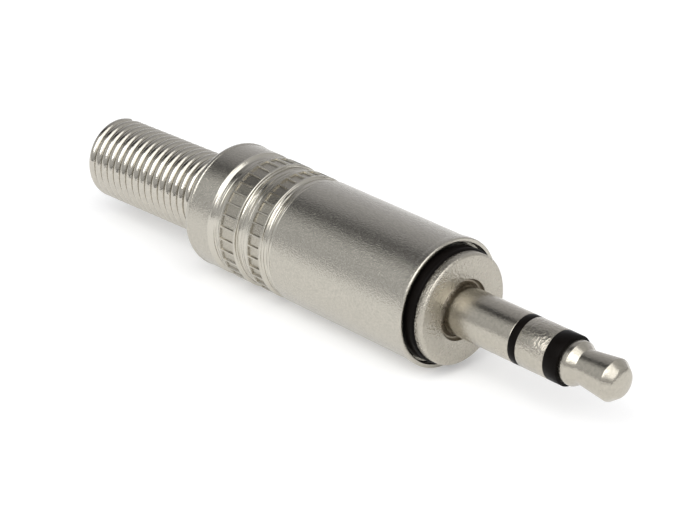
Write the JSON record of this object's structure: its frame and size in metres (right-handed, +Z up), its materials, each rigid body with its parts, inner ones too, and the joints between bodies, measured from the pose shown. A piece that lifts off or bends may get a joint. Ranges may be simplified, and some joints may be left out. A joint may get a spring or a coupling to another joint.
{
  "type": "stereo jack plug",
  "caption": "Straight stereo plug with a round stepped contact finger, a screwed-on barrel with two grip bands and a coil spring at the cable end.",
  "frame": {"origin": "centre of the flange's front face, where the plug meets its socket", "axes": "+X along the plug's axis towards its tip, +Z up as the plug lies on a table"},
  "size_m": [0.0504, 0.0094, 0.0094],
  "materials": {
    "polished_nickel": "nickel plated, turned and polished",
    "satin_nickel": "nickel plated, satin, with polished grooves",
    "spring_wire": "nickel plated drawn wire",
    "black_plastic": "gloss",
    "tinned_sheet": "tinned, stamped",
    "ivory_plastic": "moulded",
    "clear_plastic": "thin tube"
  },
  "bodies": {
    "plug": {"tip_contact": "polished_nickel", "ring_contact": "polished_nickel", "sleeve_contact": "polished_nickel", "tip_insulator": "black_plastic", "ring_insulator": "black_plastic", "marking_ring": "black_plastic", "ring_lug": "tinned_sheet", "tip_lug": "tinned_sheet", "ground_lug": "tinned_sheet", "end_washer": "tinned_sheet", "base_insulator": "ivory_plastic", "lug_washer": "ivory_plastic", "insulating_sleeve": "clear_plastic"},
    "spring": {"spring": "spring_wire"},
    "barrel": {"barrel": "satin_nickel"}
  },
  "joints": [
    {"name": "barrel_travel", "type": "slide", "parent": "plug", "child": "spring", "axis": [-1, 0, 0], "range_m": [0, 0.0045]},
    {"name": "barrel_unscrew", "type": "hinge", "parent": "spring", "child": "barrel", "pos_m": [0, 0, 0], "axis": [-1, 0, 0], "range_deg": [0, 2160]}
  ],
  "couplings": [
    {"joint": "barrel_travel", "follows": "barrel_unscrew", "m_per_rad": 0.00011937}
  ]
}
